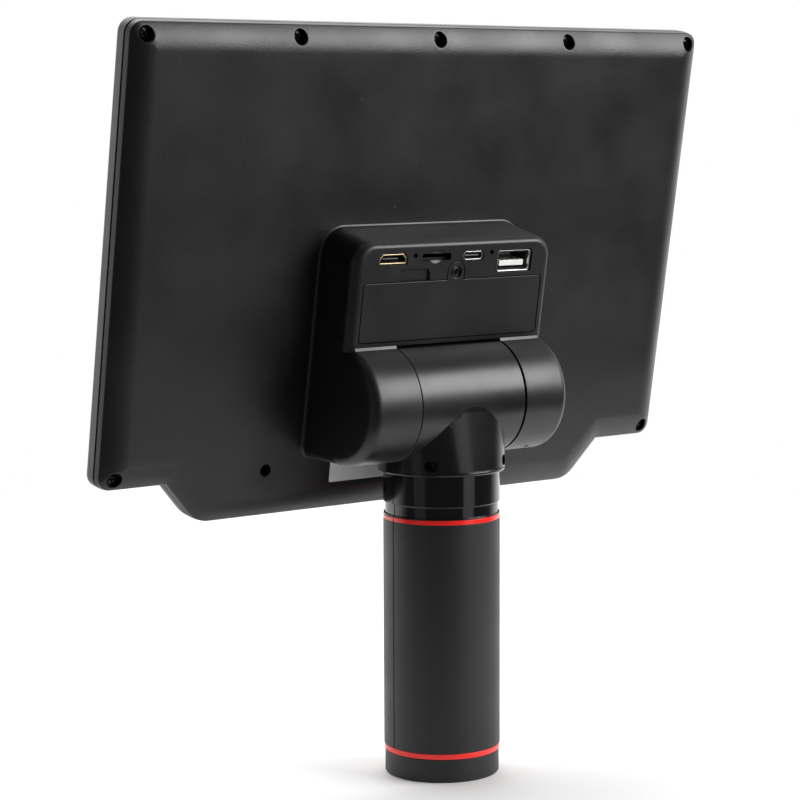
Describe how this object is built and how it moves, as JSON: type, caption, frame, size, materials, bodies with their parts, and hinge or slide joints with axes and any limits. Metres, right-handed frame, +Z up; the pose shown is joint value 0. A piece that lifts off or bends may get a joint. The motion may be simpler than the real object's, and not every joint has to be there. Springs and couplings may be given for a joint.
{
  "type": "lcd digital microscope",
  "caption": "Digital microscope: a wide LCD head tilts on a T-shaped neck above a slim camera barrel with a focus ring, with ports and a battery bay behind the hinge.",
  "frame": {"origin": "on the barrel's axis, in the plane of its bottom face", "axes": "+Z up along the barrel, +X along the tilt axis, -Y the way the screen faces, +Y towards the ports"},
  "size_m": [0.2536, 0.0609, 0.2686],
  "materials": {
    "black_abs": "fine moulded texture, semi-matt",
    "black_satin": "satin moulded plastic",
    "red_plastic": "glossy red",
    "dark_plastic": "matt",
    "button_plastic": "matt",
    "white_plastic": "moulded",
    "bearing_plastic": "natural acetal",
    "black_screw": "black oxide",
    "steel": "plain",
    "bright_steel": "stamped and plated",
    "gold_plate": "gold flash on steel",
    "circuit_board": "solder mask",
    "lens_glass": "polished",
    "screen_glass": "polarised, dark",
    "backlight": "metal-look tray",
    "led_white": "warm white",
    "sensor": "sensor window",
    "ribbon_film": "amber film",
    "cell_can": "blue sleeve",
    "label_film": "silver film"
  },
  "bodies": {
    "barrel": {"barrel_front_shell": "black_abs", "barrel_rear_shell": "black_abs", "upper_red_band": "red_plastic", "lower_red_ring": "red_plastic", "tee_neck": "black_satin", "neck_lock_screws": "black_screw", "hinge_bushes": "bearing_plastic", "lens_guide_tube": "dark_plastic", "camera_board": "circuit_board", "image_sensor": "sensor", "camera_screws": "steel", "led_board": "circuit_board", "leds": "led_white", "signal_ribbon": "ribbon_film"},
    "focus_ring": {"focus_ring": "black_abs", "front_window": "lens_glass"},
    "lens_carrier": {"lens_carrier": "dark_plastic", "follower_pins": "steel", "objective_lens": "lens_glass", "field_lens": "lens_glass"},
    "display": {"rear_shell": "black_abs", "port_housing": "black_satin", "front_frame": "black_abs", "lcd_cell": "screen_glass", "backlight_unit": "backlight", "main_board": "circuit_board", "board_screws": "steel", "socket_board": "circuit_board", "mini_hdmi_socket": "gold_plate", "micro_sd_socket": "dark_plastic", "usb_c_socket": "bright_steel", "usb_a_socket": "bright_steel", "usb_a_tongue": "white_plastic", "charge_light": "led_white", "microphone": "sensor", "housing_screws": "black_screw", "shell_screws": "black_screw", "chin_screws": "black_screw", "hinge_tube": "steel", "hinge_nuts": "steel", "wave_washer": "steel", "battery_tray": "dark_plastic", "battery_cell": "cell_can", "battery_contacts": "bright_steel", "button_board": "circuit_board", "rating_label": "label_film"},
    "battery_cover": {"battery_cover": "black_satin", "cover_screw": "black_screw"},
    "button_power": {"button_power": "button_plastic"},
    "button_menu": {"button_menu": "button_plastic"},
    "button_up": {"button_up": "button_plastic"},
    "button_ok": {"button_ok": "button_plastic"},
    "button_down": {"button_down": "button_plastic"},
    "button_mode": {"button_mode": "button_plastic"},
    "button_light": {"button_light": "button_plastic"}
  },
  "joints": [
    {"name": "display_tilt", "type": "hinge", "parent": "barrel", "child": "display", "pos_m": [0, -0.0016, 0.1353], "axis": [-1, 0, 0], "range_deg": [0, 70]},
    {"name": "focus_turn", "type": "hinge", "parent": "barrel", "child": "focus_ring", "pos_m": [0, 0, 0.004], "axis": [0, 0, 1], "range_deg": [-135, 135]},
    {"name": "lens_travel", "type": "slide", "parent": "barrel", "child": "lens_carrier", "axis": [0, 0, 1], "range_m": [-0.004, 0.004]},
    {"name": "cover_lift", "type": "slide", "parent": "display", "child": "battery_cover", "axis": [0, 0.9865, -0.164], "range_m": [0, 0.02]},
    {"name": "power_press", "type": "slide", "parent": "display", "child": "button_power", "axis": [0, 0.9865, -0.164], "range_m": [0, 0.0006], "stiffness_N_per_m": 400, "springref_m": -0.0008},
    {"name": "menu_press", "type": "slide", "parent": "display", "child": "button_menu", "axis": [0, 0.9865, -0.164], "range_m": [0, 0.0006], "stiffness_N_per_m": 400, "springref_m": -0.0008},
    {"name": "up_press", "type": "slide", "parent": "display", "child": "button_up", "axis": [0, 0.9865, -0.164], "range_m": [0, 0.0006], "stiffness_N_per_m": 400, "springref_m": -0.0008},
    {"name": "ok_press", "type": "slide", "parent": "display", "child": "button_ok", "axis": [0, 0.9865, -0.164], "range_m": [0, 0.0006], "stiffness_N_per_m": 400, "springref_m": -0.0008},
    {"name": "down_press", "type": "slide", "parent": "display", "child": "button_down", "axis": [0, 0.9865, -0.164], "range_m": [0, 0.0006], "stiffness_N_per_m": 400, "springref_m": -0.0008},
    {"name": "mode_press", "type": "slide", "parent": "display", "child": "button_mode", "axis": [0, 0.9865, -0.164], "range_m": [0, 0.0006], "stiffness_N_per_m": 400, "springref_m": -0.0008},
    {"name": "light_press", "type": "slide", "parent": "display", "child": "button_light", "axis": [0, 0.9865, -0.164], "range_m": [0, 0.0006], "stiffness_N_per_m": 400, "springref_m": -0.0008}
  ],
  "couplings": [
    {"joint": "lens_travel", "follows": "focus_turn", "m_per_rad": 0.0016976}
  ]
}
